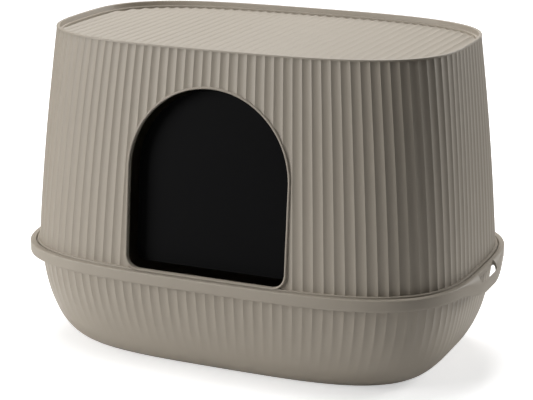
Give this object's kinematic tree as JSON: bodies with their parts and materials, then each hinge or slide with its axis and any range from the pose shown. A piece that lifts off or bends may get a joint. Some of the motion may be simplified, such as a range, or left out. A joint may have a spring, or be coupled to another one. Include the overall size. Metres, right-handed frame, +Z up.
{
  "type": "hooded litter box",
  "caption": "Hooded cat litter box: fluted tray with end grips, lift-off fluted hood with a recessed top and an arched entry, and a smoked swing flap.",
  "frame": {"origin": "on the floor under the middle of the box", "axes": "+Z up, entry towards -Y, +X along the length towards the right-hand grip seen from the front"},
  "size_m": [0.5878, 0.371, 0.386],
  "materials": {
    "shell": "satin-matte moulded polypropylene, warm grey",
    "smoked_flap": "dark smoked, near-black sheet"
  },
  "bodies": {
    "tray": {"tray": "shell"},
    "hood": {"hood": "shell"},
    "flap": {"flap": "smoked_flap"}
  },
  "joints": [
    {"name": "hood_lift", "type": "slide", "parent": "tray", "child": "hood", "axis": [0, 0, 1], "range_m": [0, 0.2]},
    {"name": "flap_swing", "type": "hinge", "parent": "hood", "child": "flap", "pos_m": [0, -0.14439, 0.3482], "axis": [1, 0, 0], "range_deg": [-70, 85]}
  ]
}
